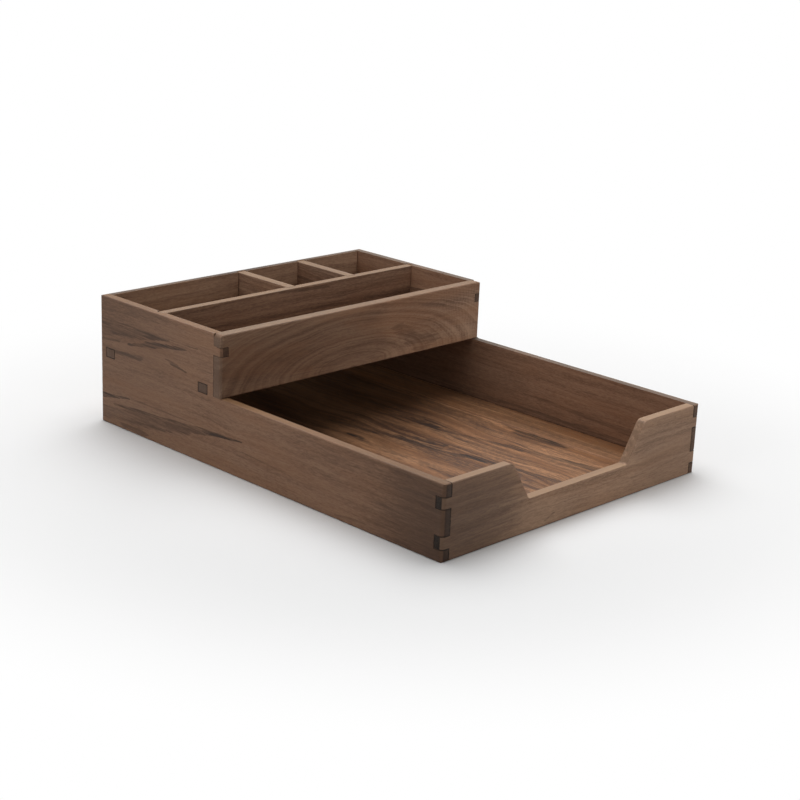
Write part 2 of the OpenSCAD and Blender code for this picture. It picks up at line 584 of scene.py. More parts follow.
    def build_knot(self) -> NodeTree:
        """A knot's dark core, and the way the grain spreads to flow round it.

        Returns:
            The group, with outputs Core between 0 and 1 and Bend in millimetres.
        """
        web, taken, given = self.start(
            "knot",
            [PLACE, Socket("Centre", "NodeSocketVector"), Socket("Radius", value=3.0)],
            [Socket("Core"), Socket("Bend", "NodeSocketVector")],
        )
        local = web.vector("SUBTRACT", taken["Place"], taken["Centre"])
        flat = web.vector("MULTIPLY", local, (0.3, 1.0, 0.0))
        reach = web.math("DIVIDE", web.vector("LENGTH", flat), taken["Radius"])
        fray = web.swing(web.noise(taken["Place"], Noise.KNOT_FRAY), 1.1)
        web.feed(given["Core"], web.remap(web.math("ADD", reach, fray), 1.1, 0.35))
        spread = web.math("POWER", web.math("DIVIDE", reach, self.KNOT_REACH), 2.0)
        fall = web.math("EXPONENT", web.math("MULTIPLY", spread, -1.0))
        across = web.split(local)[1]
        bend = web.math("MULTIPLY", web.math("MULTIPLY", across, fall), self.KNOT_BEND)
        web.feed(given["Bend"], web.combine(0.0, bend, 0.0))
        return web.tree

    def build_end_grain(self) -> NodeTree:
        """Where a face cuts the grain square, with the cut ends of rings and pores.

        Returns:
            The group, with outputs Mask and Pattern between 0 and 1.
        """
        web, taken, given = self.start(
            "end_grain",
            [PLACE, Socket("Along", "NodeSocketVector", (1.0, 0.0, 0.0))],
            [Socket("Mask"), Socket("Pattern")],
        )
        normal = web.add("ShaderNodeNewGeometry").outputs["Normal"]
        facing = web.math("ABSOLUTE", web.vector("DOT_PRODUCT", normal, taken["Along"]))
        web.feed(given["Mask"], web.remap(facing, 0.87, 0.97))
        rings = web.noise(taken["Place"], Noise.CUT_RING)
        pores = web.noise(taken["Place"], Noise.CUT_PORE)
        web.feed(given["Pattern"], web.remap(web.mean(rings, pores, 0.6), 0.35, 0.65))
        return web.tree

    def build_arris_wear(self) -> NodeTree:
        """Arrises are the places where a board's surface faces between two axes.

        Returns:
            The group, with output Mask between 0 and 1.
        """
        web, taken, given = self.start(
            "arris_wear", [PLACE, Socket("Amount", value=0.5)], [Socket("Mask")]
        )
        normal = web.add("ShaderNodeNewGeometry").outputs["Normal"]
        x, y, z = web.split(web.vector("ABSOLUTE", normal))
        squarest = web.math("MAXIMUM", web.math("MAXIMUM", x, y), z)
        rounded = web.remap(web.math("SUBTRACT", 1.0, squarest), 0.01, 0.2)
        patchy = web.remap(web.noise(taken["Place"], Noise.ARRIS_PATCH), 0.35, 0.6, 0.35, 1.0)
        broken = web.math("MULTIPLY", rounded, patchy)
        web.feed(given["Mask"], web.math("MULTIPLY", broken, taken["Amount"]))
        return web.tree

    def build_top_edge(self) -> NodeTree:
        """Top edges, which hands and oil tone in patches; on the back board this colour is painted
        shade.

        Returns:
            The group, with output Mask between 0 and 1.
        """
        web, taken, given = self.start(
            "top_edge", [PLACE, Socket("Amount", value=0.7)], [Socket("Mask")]
        )
        upward = web.split(web.add("ShaderNodeNewGeometry").outputs["Normal"])[2]
        patchy = web.remap(web.noise(taken["Place"], Noise.RIM_PATCH), 0.3, 0.7, 0.7, 1.0)
        toned = web.math("MULTIPLY", web.remap(upward, 0.92, 0.99), patchy)
        web.feed(given["Mask"], web.math("MULTIPLY", toned, taken["Amount"]))
        return web.tree


@dataclass(frozen=True)
class BoardNodes:
    """What each part of one board's material reads.

    Attributes:
        web: The material's nodes.
        effects: The shared node groups.
        place: Place in the board, in millimetres along, across and through it.
        noisy: The same place, shifted by the board's seed.
    """

    web: NodeWeb
    effects: WoodEffects
    place: NodeSocket
    noisy: NodeSocket


@dataclass(frozen=True)
class WalnutFinish:
    """Oiled walnut for one board, with the figure that the board shows.

    Attributes:
        name: The material's name.
        grain: How the grain lies in the board.
        tone: The board's colours.
        heart: Centre of the growth rings, in millimetres along, across and through the board.
        ring_stretch: How flat the rings lie along the grain.
        ring_gap: Millimetres between rings.
        ring_contrast: How much the rings change the tone.
        wobble: Millimetres that the rings wander.
        drift_contrast: How much the tone drifts over the board.
        fibre_contrast: How much the fibres change the tone.
        wave: Millimetres that the grain's lines wave across the board.
        warmth: How strongly redder patches show.
        flecks: How strongly long dark flecks show.
        pores: How dark and deep the open pores are.
        curl: How strongly fine ripples cross the grain.
        curl_from: Place along the grain, in millimetres, where the ripples are at their full.
        curl_fade: Millimetres over which the ripples die away.
        seed: Shifts the board's noise, so that no two boards match.
        end_dark: How far the end grain goes to its own dark colour.
        wear: How worn the arrises are.
        rim: Colour of the board's top edge, which hands and oil have toned; on the back board it is
            painted shade.
        rim_share: How far the top edge goes to that colour.
        smoothest: Roughness of the hard fibres.
        roughest: Roughness of the soft fibres.
        sheen_level: Specular level of the oil.
        relief: Strength of the fibres' relief.
        relief_depth: Depth of that relief, in metres.
        streaks_and_shade: Dark heartwood lines, and broad patches of painted shade.
        knots: Knots.
    """

    CURL_WANDER = 9.0  # millimetres that the ripples wander
    CURL_PITCH = 2.1  # radians in each millimetre along the grain
    CURL_LEAN = 0.12  # radians in each millimetre across it
    CUT_VARIETY = 0.3  # how much the cut rings and pores vary the end grain
    GLUE_AND_SHADE_LEAST = 0.6  # how strongly a glue line and its painted gap shade show where they show least
    GLUE_AND_SHADE_MOST = 0.95  # and where they show most

    name: str
    grain: Grain
    tone: WalnutTone
    heart: Triple = (0.0, -90.0, 0.0)
    ring_stretch: float = 0.05
    ring_gap: float = 3.0
    ring_contrast: float = 0.5
    wobble: float = 8.0
    drift_contrast: float = 0.35
    fibre_contrast: float = 0.5
    wave: float = 2.5
    warmth: float = 0.35
    flecks: float = 0.25
    pores: float = 0.3
    curl: float = 0.0
    curl_from: float = 0.0
    curl_fade: float = 45.0
    seed: float = 0.0
    end_dark: float = 0.85
    wear: float = 0.8
    rim: Colour = srgb(131, 105, 80)
    rim_share: float = 0.85
    smoothest: float = 0.5
    roughest: float = 0.64
    sheen_level: float = 0.18
    relief: float = 0.4
    relief_depth: float = 0.0002
    streaks_and_shade: tuple[StreakAndShade, ...] = ()
    knots: tuple[Knot, ...] = ()

    def board_place(self, web: NodeWeb) -> NodeSocket:
        """Reads the place in the board, in millimetres along, across and through it.

        Args:
            web: The material's nodes.

        Returns:
            The place.
        """
        own = web.add("ShaderNodeTexCoord").outputs["Object"]
        parts = web.split(web.vector("SCALE", own, MM_PER_M))
        return web.combine(*(parts[axis] for axis in self.grain.value))

    def seed_shift(self) -> Triple:
        """Returns how far the seed shifts the board's noise."""
        return tuple(self.seed * step for step in SEED_STEPS)

    def knot_marks(self, board: BoardNodes) -> tuple[Any, NodeSocket]:
        """Lays the knots.

        Args:
            board: The board's nodes.

        Returns:
            How dark each point is, and the place once the knots have bent the grain.
        """
        web = board.web
        dark: Any = 0.0
        bent = board.place
        for knot in self.knots:
            centre = (knot.along, knot.across, 0.0)
            made = web.place(
                board.effects.knot, Place=board.place, Centre=centre, Radius=knot.radius
            )
            bent = web.vector("ADD", bent, made.outputs["Bend"])
            core = web.math("MULTIPLY", made.outputs["Core"], knot.strength)
            dark = web.math("MAXIMUM", core, dark)
        return dark, bent

    def dark_marks(self, board: BoardNodes) -> tuple[Any, NodeSocket]:
        """Lays the knots, the dark heartwood lines and the broad patches of painted shade.

        Args:
            board: The board's nodes.

        Returns:
            How dark each point is, and the place that the rings see after the knots bend it.
        """
        web = board.web
        dark, bent = self.knot_marks(board)
        moved = web.vector("ADD", bent, web.vector("SUBTRACT", board.noisy, board.place))
        pull = web.noise(moved, Noise.STREAK_PULL, output="Color")
        pull = web.vector("SUBTRACT", pull, (0.5, 0.5, 0.5))
        threads = web.noise(moved, Noise.STREAK_THREAD)
        for streak_and_shade in self.streaks_and_shade:
            made = web.place(
                board.effects.streak_and_shade,
                Place=bent,
                Pull=pull,
                Threads=threads,
                From=(streak_and_shade.from_along, streak_and_shade.from_across, 0.0),
                To=(streak_and_shade.to_along, streak_and_shade.to_across, 0.0),
                From_Width=streak_and_shade.from_width,
                To_Width=streak_and_shade.to_width,
                Ragged=streak_and_shade.ragged,
                Blunt=streak_and_shade.blunt,
            )
            mark = web.math("MULTIPLY", made.outputs["Mask"], streak_and_shade.strength)
            dark = web.math("MAXIMUM", mark, dark)
        return dark, moved

    def ripples(self, board: BoardNodes) -> NodeSocket:
        """Fine curl that crosses the grain and fades out along the board.

        Args:
            board: The board's nodes.

        Returns:
            The ripples' change of tone, about 0.
        """
        web = board.web
        along, across, _ = web.split(board.place)
        sway = web.swing(web.noise(board.place, Noise.CURL_SWAY), self.CURL_WANDER)
        phase = web.math("MULTIPLY", web.math("ADD", along, sway), self.CURL_PITCH)
        lean = web.math("MULTIPLY", across, self.CURL_LEAN)
        wave = web.math("SINE", web.math("ADD", phase, lean))
        fade = web.remap(along, self.curl_from - self.curl_fade, self.curl_from)
        return web.math("MULTIPLY", web.math("MULTIPLY", wave, fade), self.curl)

    def paleness(self, board: BoardNodes, bent: NodeSocket, fibre: NodeSocket) -> NodeSocket:
        """Adds up what makes the wood paler or deeper.

        Args:
            board: The board's nodes.
            bent: Place in the board, along its bent and waving grain.
            fibre: The fibres, from 0 to 1.

        Returns:
            How pale each point is, from 0 to 1.
        """
        web = board.web
        figure = web.place(
            board.effects.figure,
            Place=bent,
            Heart=tuple(h + s for h, s in zip(self.heart, self.seed_shift())),
            Stretch=self.ring_stretch,
            Ring_Gap=self.ring_gap,
            Wobble=self.wobble,
        )
        pale = web.math("ADD", web.swing(figure.outputs["Rings"], self.ring_contrast), 0.5)
        pale = web.math("ADD", pale, web.swing(figure.outputs["Drift"], self.drift_contrast))
        pale = web.math("ADD", pale, web.swing(fibre, self.fibre_contrast))
        if self.curl:
            pale = web.math("ADD", pale, self.ripples(board))
        return pale

    def wood_colour(self, board: BoardNodes, pale: NodeSocket, dark: NodeSocket) -> NodeSocket:
        """Colours the long grain.

        Args:
            board: The board's nodes.
            pale: How pale each point is, from 0 to 1.
            dark: How dark the heartwood lines, the painted shade, the knots and the flecks are, from 0
                to 1.

        Returns:
            The colour.
        """
        web = board.web
        ramp = web.add("ShaderNodeValToRGB", {"Fac": pale})
        stops = ramp.color_ramp.elements
        stops[0].color = self.tone.deep
        stops[1].color = self.tone.pale
        stops.new(0.5).color = self.tone.body
        patches = web.remap(web.noise(board.noisy, Noise.WARM_PATCH), 0.42, 0.68)
        warm = web.math("MULTIPLY", patches, self.warmth)
        colour = web.blend(warm, ramp.outputs["Color"], self.tone.warm)
        return web.blend(dark, colour, self.tone.streak_and_shade)

    def edge_colour(self, board: BoardNodes, colour: NodeSocket) -> NodeSocket:
        """Colours the end grain, the worn arrises, the top edge, and the glue lines with their painted
        gap shade.

        Args:
            board: The board's nodes.
            colour: Colour of the long grain.

        Returns:
            The board's colour.
        """
        web = board.web
        noisy = board.noisy
        ends = web.place(board.effects.end_grain, Place=noisy, Along=self.grain.along())
        variety = web.swing(ends.outputs["Pattern"], self.CUT_VARIETY)
        cut = web.math("ADD", variety, self.end_dark)
        cut = web.math("MULTIPLY", ends.outputs["Mask"], cut, clamp=True)
        colour = web.blend(cut, colour, self.tone.end)
        worn = web.place(board.effects.arris_wear, Place=noisy, Amount=self.wear)
        long_grain = web.math("SUBTRACT", 1.0, ends.outputs["Mask"])
        edge = web.math("MULTIPLY", worn.outputs["Mask"], long_grain)
        colour = web.blend(edge, colour, self.tone.worn)
        if self.rim_share:
            top = web.place(board.effects.top_edge, Place=noisy, Amount=self.rim_share)
            colour = web.blend(top.outputs["Mask"], colour, self.rim)
        # The seams take the glue colour, which also paints the shade in the joint's gap.
        seam = web.add("ShaderNodeAttribute", attribute_name=JOINT).outputs["Fac"]
        seam_patch = web.noise(noisy, Noise.GLUE_AND_SHADE_PATCH)
        shown = web.remap(seam_patch, 0.35, 0.65, self.GLUE_AND_SHADE_LEAST, self.GLUE_AND_SHADE_MOST)
        return web.blend(web.math("MULTIPLY", seam, shown), colour, GLUE_AND_GAP_SHADE)

    def material(self, effects: WoodEffects) -> Material:
        """Builds the material.

        Args:
            effects: The shared node groups.

        Returns:
            The finished material.
        """
        made = bpy.data.materials.new(self.name)
        made.use_nodes = True
        web = NodeWeb(made.node_tree)
        place = self.board_place(web)
        noisy = web.vector("ADD", place, self.seed_shift())
        board = BoardNodes(web, effects, place, noisy)
        dark, bent = self.dark_marks(board)
        waving = web.swing(web.noise(noisy, Noise.GRAIN_WAVE), self.wave * 2.0)
        bent = web.vector("ADD", bent, web.combine(0.0, waving, 0.0))
        shown = web.place(effects.fibre, Place=bent).outputs
        pale = self.paleness(board, bent, shown["Fibre"])
        dark = web.math("MAXIMUM", dark, web.math("MULTIPLY", shown["Flecks"], self.flecks))
        colour = self.wood_colour(board, pale, dark)
        pores = web.math("MULTIPLY", shown["Pores"], self.pores)
        colour = self.edge_colour(board, web.blend(pores, colour, self.tone.streak_and_shade))
        height = web.math("SUBTRACT", web.math("MULTIPLY", shown["Fibre"], 0.5), pores)
        rough = web.remap(shown["Fibre"], 0.0, 1.0, self.smoothest, self.roughest)
        bump = web.add(
            "ShaderNodeBump",
            {"Strength": self.relief, "Distance": self.relief_depth, "Height": height},
        )
        shader = made.node_tree.nodes["Principled BSDF"]
        shader.inputs["Specular IOR Level"].default_value = self.sheen_level
        web.feed(shader.inputs["Base Color"], colour)
        web.feed(shader.inputs["Roughness"], rough)
        web.feed(shader.inputs["Normal"], bump.outputs["Normal"])
        return made


class BoardStock:
    """Makes boards: jointed ones from the frame, and plain ones from a Geometry Nodes tree."""

    FLAT = math.radians(0.5)  # faces that meet at less than this are one face
    ARRIS_ANGLE = math.radians(50)  # edges sharper than this are eased
    SAME_POINT = 0.000001  # corners closer than this are one corner
    TOUCH = 0.00006  # boards closer than this touch
    TOUCH_SHARES = (0.1, 0.5, 0.9)  # where an edge is tested for touching a neighbour
    JOINT_WIDTH = 0.0004  # width of a glue line and its painted gap shade on each board
    ROUND_STEPS = 3
    EASE_STEPS = 2
    FACE_WEIGHT = 60

    def __init__(self, frame: dict[str, Any], effects: WoodEffects) -> None:
        """Keeps what every board needs.

        Args:
            frame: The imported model.
            effects: The shared node groups.
        """
        self.frame = frame
        self.effects = effects
        self.plain_tree = self.build_plain_tree()
        self.surfaces = {node: self.surface(item.data) for node, item in frame["nodes"].items()}

    @staticmethod
    def surface(mesh: Mesh) -> BVHTree:
        """Returns a tree that finds the nearest place on a mesh."""
        corners = [vertex.co for vertex in mesh.vertices]
        return BVHTree.FromPolygons(corners, [polygon.vertices for polygon in mesh.polygons])

    @staticmethod
    def build_plain_tree() -> NodeTree:
        """Builds the tree that sweeps a section with rounded arrises along a plain board.

        Returns:
            The tree.
        """
        tree = bpy.data.node_groups.new("plain_board", "GeometryNodeTree")
        tree.interface.new_socket(name="Geometry", in_out="OUTPUT", socket_type="NodeSocketGeometry")
        for name, kind in (
            ("Start", "NodeSocketVector"),
            ("End", "NodeSocketVector"),
            ("Width", "NodeSocketFloat"),
            ("Height", "NodeSocketFloat"),
            ("Arris", "NodeSocketFloat"),
            ("Wood", "NodeSocketMaterial"),
        ):
            tree.interface.new_socket(name=name, in_out="INPUT", socket_type=kind)
        web = NodeWeb(tree)
        taken = web.add("NodeGroupInput").outputs
        ends = {"Start": taken["Start"], "End": taken["End"]}
        path = web.add("GeometryNodeCurvePrimitiveLine", ends, mode="POINTS")
        lying = {"Curve": path.outputs["Curve"]}
        upright = web.add("GeometryNodeSetCurveNormal", lying, mode="Z_UP")
        size = {"Width": taken["Width"], "Height": taken["Height"]}
        section = web.add("GeometryNodeCurvePrimitiveQuadrilateral", size, mode="RECTANGLE")
        rounding = {
            "Curve": section.outputs["Curve"],
            "Radius": taken["Arris"],
            "Count": BoardStock.ROUND_STEPS,
        }
        arrises = web.add("GeometryNodeFilletCurve", rounding, mode="POLY")
        swept = {
            "Curve": upright.outputs["Curve"],
            "Profile Curve": arrises.outputs["Curve"],
            "Fill Caps": True,
        }
        sweep = web.add("GeometryNodeCurveToMesh", swept)
        real = web.add("GeometryNodeRealizeInstances", {"Geometry": sweep.outputs["Mesh"]})
        worn = {"Geometry": real.outputs["Geometry"], "Material": taken["Wood"]}
        dressed = web.add("GeometryNodeSetMaterial", worn)
        web.add("NodeGroupOutput", {"Geometry": dressed.outputs["Geometry"]})
        return tree

    @staticmethod
    def add_piece(name: str, mesh: Mesh) -> Object:
        """Adds a mesh to the scene as a piece at the origin.

        Args:
            name: The piece's name.
            mesh: Its mesh.

        Returns:
            The piece.
        """
        piece = bpy.data.objects.new(name, mesh)
        bpy.context.scene.collection.objects.link(piece)
        return piece

    def enter(self, piece: Object, node: str) -> None:
        """Hangs a piece on the frame's body, hides the CAD node that it stands for and logs both.

        Args:
            piece: The finished piece.
            node: The CAD node's name.
        """
        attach(piece, BODY)
        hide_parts(node)
        LOG.info("%s: %d faces, stands for %s", piece.name, len(piece.data.polygons), node)

    def joint_edges(self, work: bmesh.types.BMesh, node: str) -> list[bmesh.types.BMEdge]:
        """Finds the arrises that lie on a neighbouring board, where a glue line and its painted gap
        shade show.

        Args:
            work: The board's merged mesh.
            node: The board's CAD node.

        Returns:
            The edges.
        """
        neighbours = [tree for name, tree in self.surfaces.items() if name != node]
        found = []
        for edge in work.edges:
            if len(edge.link_faces) != 2 or edge.calc_face_angle(0.0) < self.ARRIS_ANGLE:
                continue
            first, last = (vertex.co for vertex in edge.verts)
            spots = [first.lerp(last, share) for share in self.TOUCH_SHARES]
            for tree in neighbours:
                if all(tree.find_nearest(spot, self.TOUCH)[0] is not None for spot in spots):
                    found.append(edge)
                    break
        return found

    def jointed(self, name: str, node: str, finish: WalnutFinish, arris: float) -> Object:
        """Makes a board with joints: the CAD solid's shape, with every arris eased.

        Args:
            name: The piece's name.
            node: The CAD node's name.
            finish: The board's finish.
            arris: Width of the eased edges.

        Returns:
            The piece.
        """
        mesh = self.frame["nodes"][node].data.copy()
        mesh.name = name
        work = bmesh.new()
        work.from_mesh(mesh)
        bmesh.ops.remove_doubles(work, verts=work.verts, dist=self.SAME_POINT)
        bmesh.ops.dissolve_limit(work, angle_limit=self.FLAT, verts=work.verts, edges=work.edges)
        for face in work.faces:
            face.smooth = True
            face.material_index = 0
        mark = work.faces.layers.float.new(JOINT)
        seams = bmesh.ops.bevel(
            work,
            geom=self.joint_edges(work, node),
            offset=self.JOINT_WIDTH,
            offset_type="OFFSET",
            segments=1,
            profile=0.5,
            affect="EDGES",
            clamp_overlap=True,
        )
        for face in seams["faces"]:
            face[mark] = 1.0
        work.to_mesh(mesh)
        work.free()
        mesh.materials.clear()
        mesh.materials.append(finish.material(self.effects))
        piece = self.add_piece(name, mesh)
        eased = piece.modifiers.new("eased_arrises", "BEVEL")
        eased.width = arris
        eased.segments = self.EASE_STEPS
        eased.limit_method = "ANGLE"
        eased.angle_limit = self.ARRIS_ANGLE
        flat = piece.modifiers.new("flat_faces", "WEIGHTED_NORMAL")
        flat.weight = self.FACE_WEIGHT
        self.enter(piece, node)
        return piece

    def plain(
        self, name: str, node: str, finish: WalnutFinish, along_y: bool, arris: float
    ) -> Object:
        """Makes a board without joints by sweeping its section from one end to the other.

        Args:
            name: The piece's name.
            node: The CAD node's name, whose box the board fills.
            finish: The board's finish.
            along_y: True for a board that runs from front to rear.
            arris: Radius of its rounded arrises.

        Returns:
            The piece.
        """
        low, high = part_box(node)
        middle = (Vector(low) + Vector(high)) / 2
        size = Vector(high) - Vector(low)
        axis = 1 if along_y else 0
        half = Vector([size[i] / 2 if i == axis else 0.0 for i in range(3)])
        piece = self.add_piece(name, bpy.data.meshes.new(name))
        grown = piece.modifiers.new("sweep", "NODES")
        grown.node_group = self.plain_tree
        values = {
            "Start": tuple(middle - half),
            "End": tuple(middle + half),
            "Width": size[1 - axis],
            "Height": size[2],
            "Arris": arris,
            "Wood": finish.material(self.effects),
        }
        for item in self.plain_tree.interface.items_tree:
            if item.in_out == "INPUT":
                grown[item.identifier] = values[item.name]
        shaped = piece.evaluated_get(bpy.context.evaluated_depsgraph_get())
        mesh = bpy.data.meshes.new_from_object(shaped)
        piece.modifiers.clear()
        piece.data = mesh
        mesh.name = name
        mesh.shade_smooth()
        mesh.set_sharp_from_angle(angle=self.ARRIS_ANGLE)
        self.enter(piece, node)
        return piece


FACE_TONE = WalnutTone(
    pale=srgb(162, 127, 103),
    body=srgb(141, 108, 86),
    deep=srgb(110, 82, 64),
    warm=srgb(148, 107, 79),
    streak_and_shade=srgb(58, 44, 37),
    end=srgb(50, 38, 31),
    worn=srgb(102, 77, 60),
)
RAIL_TONE = WalnutTone(
    pale=srgb(188, 154, 126),
    body=srgb(166, 133, 108),
    deep=srgb(132, 103, 82),
    warm=srgb(170, 130, 100),
    streak_and_shade=srgb(82, 64, 55),
    end=srgb(23, 17, 13),
    worn=srgb(116, 92, 74),
)
ARCH_TONE = WalnutTone(
    pale=srgb(176, 143, 117),
    body=srgb(146, 115, 93),
    deep=srgb(106, 80, 63),
    warm=srgb(158, 115, 85),
    streak_and_shade=srgb(78, 59, 47),
    end=srgb(98, 77, 64),
    worn=srgb(104, 82, 66),
)
TRAY_TONE = WalnutTone(
    pale=srgb(154, 123, 100),
    body=srgb(126, 98, 79),
    deep=srgb(92, 69, 55),
    warm=srgb(138, 99, 73),
    streak_and_shade=srgb(72, 55, 45),
    end=srgb(92, 72, 60),
    worn=srgb(96, 75, 61),
)
BASE_TONE = WalnutTone(
    pale=srgb(168, 125, 91),
    body=srgb(125, 89, 62),
    deep=srgb(76, 51, 36),
    warm=srgb(134, 90, 57),
    streak_and_shade=srgb(24, 18, 16),
    end=srgb(88, 68, 56),
    worn=srgb(120, 92, 72),
)


@dataclass
class PaperBay:
    """The low bay: two side boards, the front rail, the back board and the base.

    Attributes:
        stock: Where its boards come from.
        arris: Width of the eased edges.
        side_streaks_and_shade: Dark heartwood lines in the left side board's outer face, and broad
            painted shade towards its front corner and at its rear end.
        base_streaks_and_shade: Dark heartwood lines in the base, and broad painted shade towards its
            rear under the tray.
        base_knots: Knots in the base.
    """

    stock: BoardStock
    arris: float = 0.00035
    side_streaks_and_shade: tuple[StreakAndShade, ...] = (
        StreakAndShade(168.0, 77.2, 60.0, 78.0, 0.8, 0.35, 0.6, 1.0),
        StreakAndShade(168.0, 68.0, 146.0, 71.5, 5.0, 4.0, 0.4, 3.0),
        StreakAndShade(150.0, 71.5, 112.0, 74.5, 4.0, 2.4, 0.6, 3.0),
        StreakAndShade(168.0, 73.5, 118.0, 76.0, 1.1, 1.0, 0.85, 1.5),
        StreakAndShade(152.0, 68.5, 122.0, 72.0, 0.7, 1.2, 0.75, 2.0),
        StreakAndShade(112.0, 75.0, 92.0, 77.0, 2.2, 0.5, 0.85, 2.0),
        StreakAndShade(168.0, 61.5, 148.0, 63.5, 1.4, 0.7, 0.55, 2.0),
        StreakAndShade(134.0, 64.5, 112.0, 69.0, 0.9, 1.9, 0.85, 2.5),
        StreakAndShade(112.0, 69.5, 84.0, 73.5, 2.1, 1.4, 0.95, 2.5),
        StreakAndShade(84.0, 73.5, 73.0, 74.8, 1.4, 0.6, 0.8, 2.0),
        StreakAndShade(94.0, 63.2, 84.0, 61.6, 0.6, 1.5, 0.75, 2.0),
        StreakAndShade(84.0, 61.6, 74.0, 59.4, 1.5, 0.6, 0.8, 2.0),
        StreakAndShade(156.0, 55.0, 140.0, 55.5, 1.2, 1.2, 0.65, 2.5),
        StreakAndShade(140.0, 55.6, 126.0, 57.2, 1.6, 2.0, 0.75, 2.5),
        StreakAndShade(168.0, 20.0, 136.0, 24.0, 1.9, 0.5, 0.9, 1.2),
        StreakAndShade(132.0, 25.0, 60.0, 25.2, 0.6, 0.4, 0.5, 0.8),
        StreakAndShade(168.0, 8.0, 124.0, 12.0, 4.0, 6.0, 0.45, 4.0),
        StreakAndShade(124.0, 12.0, 82.0, 17.5, 6.5, 4.0, 0.5, 3.0),
        StreakAndShade(84.0, 17.5, 48.0, 22.5, 4.0, 1.7, 0.7, 2.0),
        StreakAndShade(152.0, 16.5, 104.0, 19.0, 0.9, 1.3, 0.85, 1.6),
        StreakAndShade(106.0, 19.0, 50.0, 24.2, 1.2, 0.9, 0.9, 1.2),
        StreakAndShade(134.0, 8.5, 92.0, 12.5, 0.8, 1.1, 0.7, 2.0),
        StreakAndShade(50.0, 23.0, 14.0, 25.5, 1.7, 0.4, 1.0, 1.0),
        StreakAndShade(142.0, 3.0, 118.0, 3.0, 1.6, 1.8, 0.55, 2.5),
        StreakAndShade(12.0, 19.0, -36.0, 16.0, 0.4, 0.5, 0.35, 1.0),
        StreakAndShade(-80.0, 3.0, -165.0, 12.0, 0.8, 1.6, 0.3, 3.0),
        StreakAndShade(168.0, 87.0, 96.0, 89.0, 5.0, 2.0, 0.3, 4.0),
        # Broad patch of painted shade over the rear end of the left side.
        StreakAndShade(168.0, 58.0, 112.0, 58.0, 40.0, 36.0, 0.12, 8.0, 1.0),
        # Broad patches of painted shade: the left side darkens towards the front corner.
        StreakAndShade(-172.0, 8.0, -176.0, 24.0, 30.0, 36.0, 0.68, 4.0, 1.0),
        StreakAndShade(-168.0, 8.0, -176.0, 24.0, 50.0, 60.0, 0.58, 6.0, 1.0),
        StreakAndShade(-120.0, 8.0, -150.0, 20.0, 10.0, 26.0, 0.25, 6.0, 1.0),
    )
    base_streaks_and_shade: tuple[StreakAndShade, ...] = (
        StreakAndShade(38.0, -13.5, 24.0, -14.0, 1.0, 2.0, 0.8, 2.0),
        StreakAndShade(24.0, -14.0, 10.0, -15.5, 2.4, 1.2, 1.0, 2.0),
        StreakAndShade(62.0, -6.0, 40.0, -1.0, 2.0, 2.5, 0.75, 3.0),
        StreakAndShade(40.0, -1.0, 14.0, 3.5, 2.5, 3.5, 0.85, 3.0),
        StreakAndShade(14.0, 4.0, -8.0, 8.0, 3.5, 3.5, 0.9, 3.0),
        StreakAndShade(-8.0, 9.0, -28.0, 12.0, 4.5, 4.0, 1.0, 3.0),
        StreakAndShade(-28.0, 11.5, -46.0, 12.5, 3.0, 2.4, 0.95, 2.0),
        StreakAndShade(-46.0, 12.5, -66.0, 18.0, 2.6, 2.8, 0.95, 2.5),
        StreakAndShade(-66.0, 19.0, -82.0, 21.0, 2.6, 2.2, 0.8, 3.0),
        StreakAndShade(-82.0, 21.5, -134.0, 28.0, 2.0, 3.0, 0.6, 2.5),
        StreakAndShade(-10.0, 17.0, -32.0, 20.0, 2.0, 1.0, 0.8, 3.0),
        StreakAndShade(46.0, 36.5, 28.0, 40.0, 2.0, 4.0, 0.8, 3.0),
        StreakAndShade(28.0, 40.5, 8.0, 46.0, 4.5, 4.0, 0.85, 3.0),
        StreakAndShade(8.0, 45.0, -4.0, 42.5, 3.2, 2.0, 0.85, 2.0),
        StreakAndShade(-4.0, 43.0, -30.0, 47.5, 1.5, 1.4, 0.6, 2.0),
        StreakAndShade(-30.0, 47.5, -66.0, 55.5, 1.6, 3.0, 0.85, 2.0),
        StreakAndShade(-66.0, 56.0, -98.0, 61.0, 3.0, 2.2, 0.75, 2.0),
        StreakAndShade(-98.0, 61.5, -134.0, 66.5, 2.6, 4.2, 0.7, 2.5),
        StreakAndShade(-44.0, 85.0, -56.0, 83.0, 1.2, 5.0, 0.7, 3.0),
        StreakAndShade(-56.0, 83.0, -76.0, 84.0, 5.0, 4.0, 0.95, 3.0),
        StreakAndShade(-76.0, 85.0, -94.0, 86.0, 2.6, 0.8, 0.7, 3.0),
        StreakAndShade(-60.0, -20.0, -84.0, -21.0, 1.4, 1.6, 0.5, 3.0),
        StreakAndShade(-12.0, -20.0, -30.0, -18.0, 1.2, 1.4, 0.5, 3.0),
        StreakAndShade(20.0, 70.0, -60.0, 74.0, 0.8, 1.0, 0.35, 3.0),
        StreakAndShade(-30.0, -60.0, -150.0, -68.0, 1.4, 4.0, 0.7, 4.0),
        StreakAndShade(120.0, -50.0, 20.0, -62.0, 3.0, 2.0, 0.7, 4.0),
        StreakAndShade(-100.0, -100.0, -20.0, -96.0, 2.0, 1.0, 0.6, 3.0),
        # Broad patch of painted shade, darker towards the base's rear under the tray.
        StreakAndShade(166.0, 10.0, 84.0, 10.0, 150.0, 106.0, 0.45, 8.0, 1.0),
    )
    base_knots: tuple[Knot, ...] = (
        Knot(-20.0, 19.0, 2.4, 0.6),
        Knot(14.0, 45.5, 3.0, 0.55),
        Knot(14.0, -15.0, 1.6, 0.9),
        Knot(70.0, -56.0, 3.0, 0.8),
    )

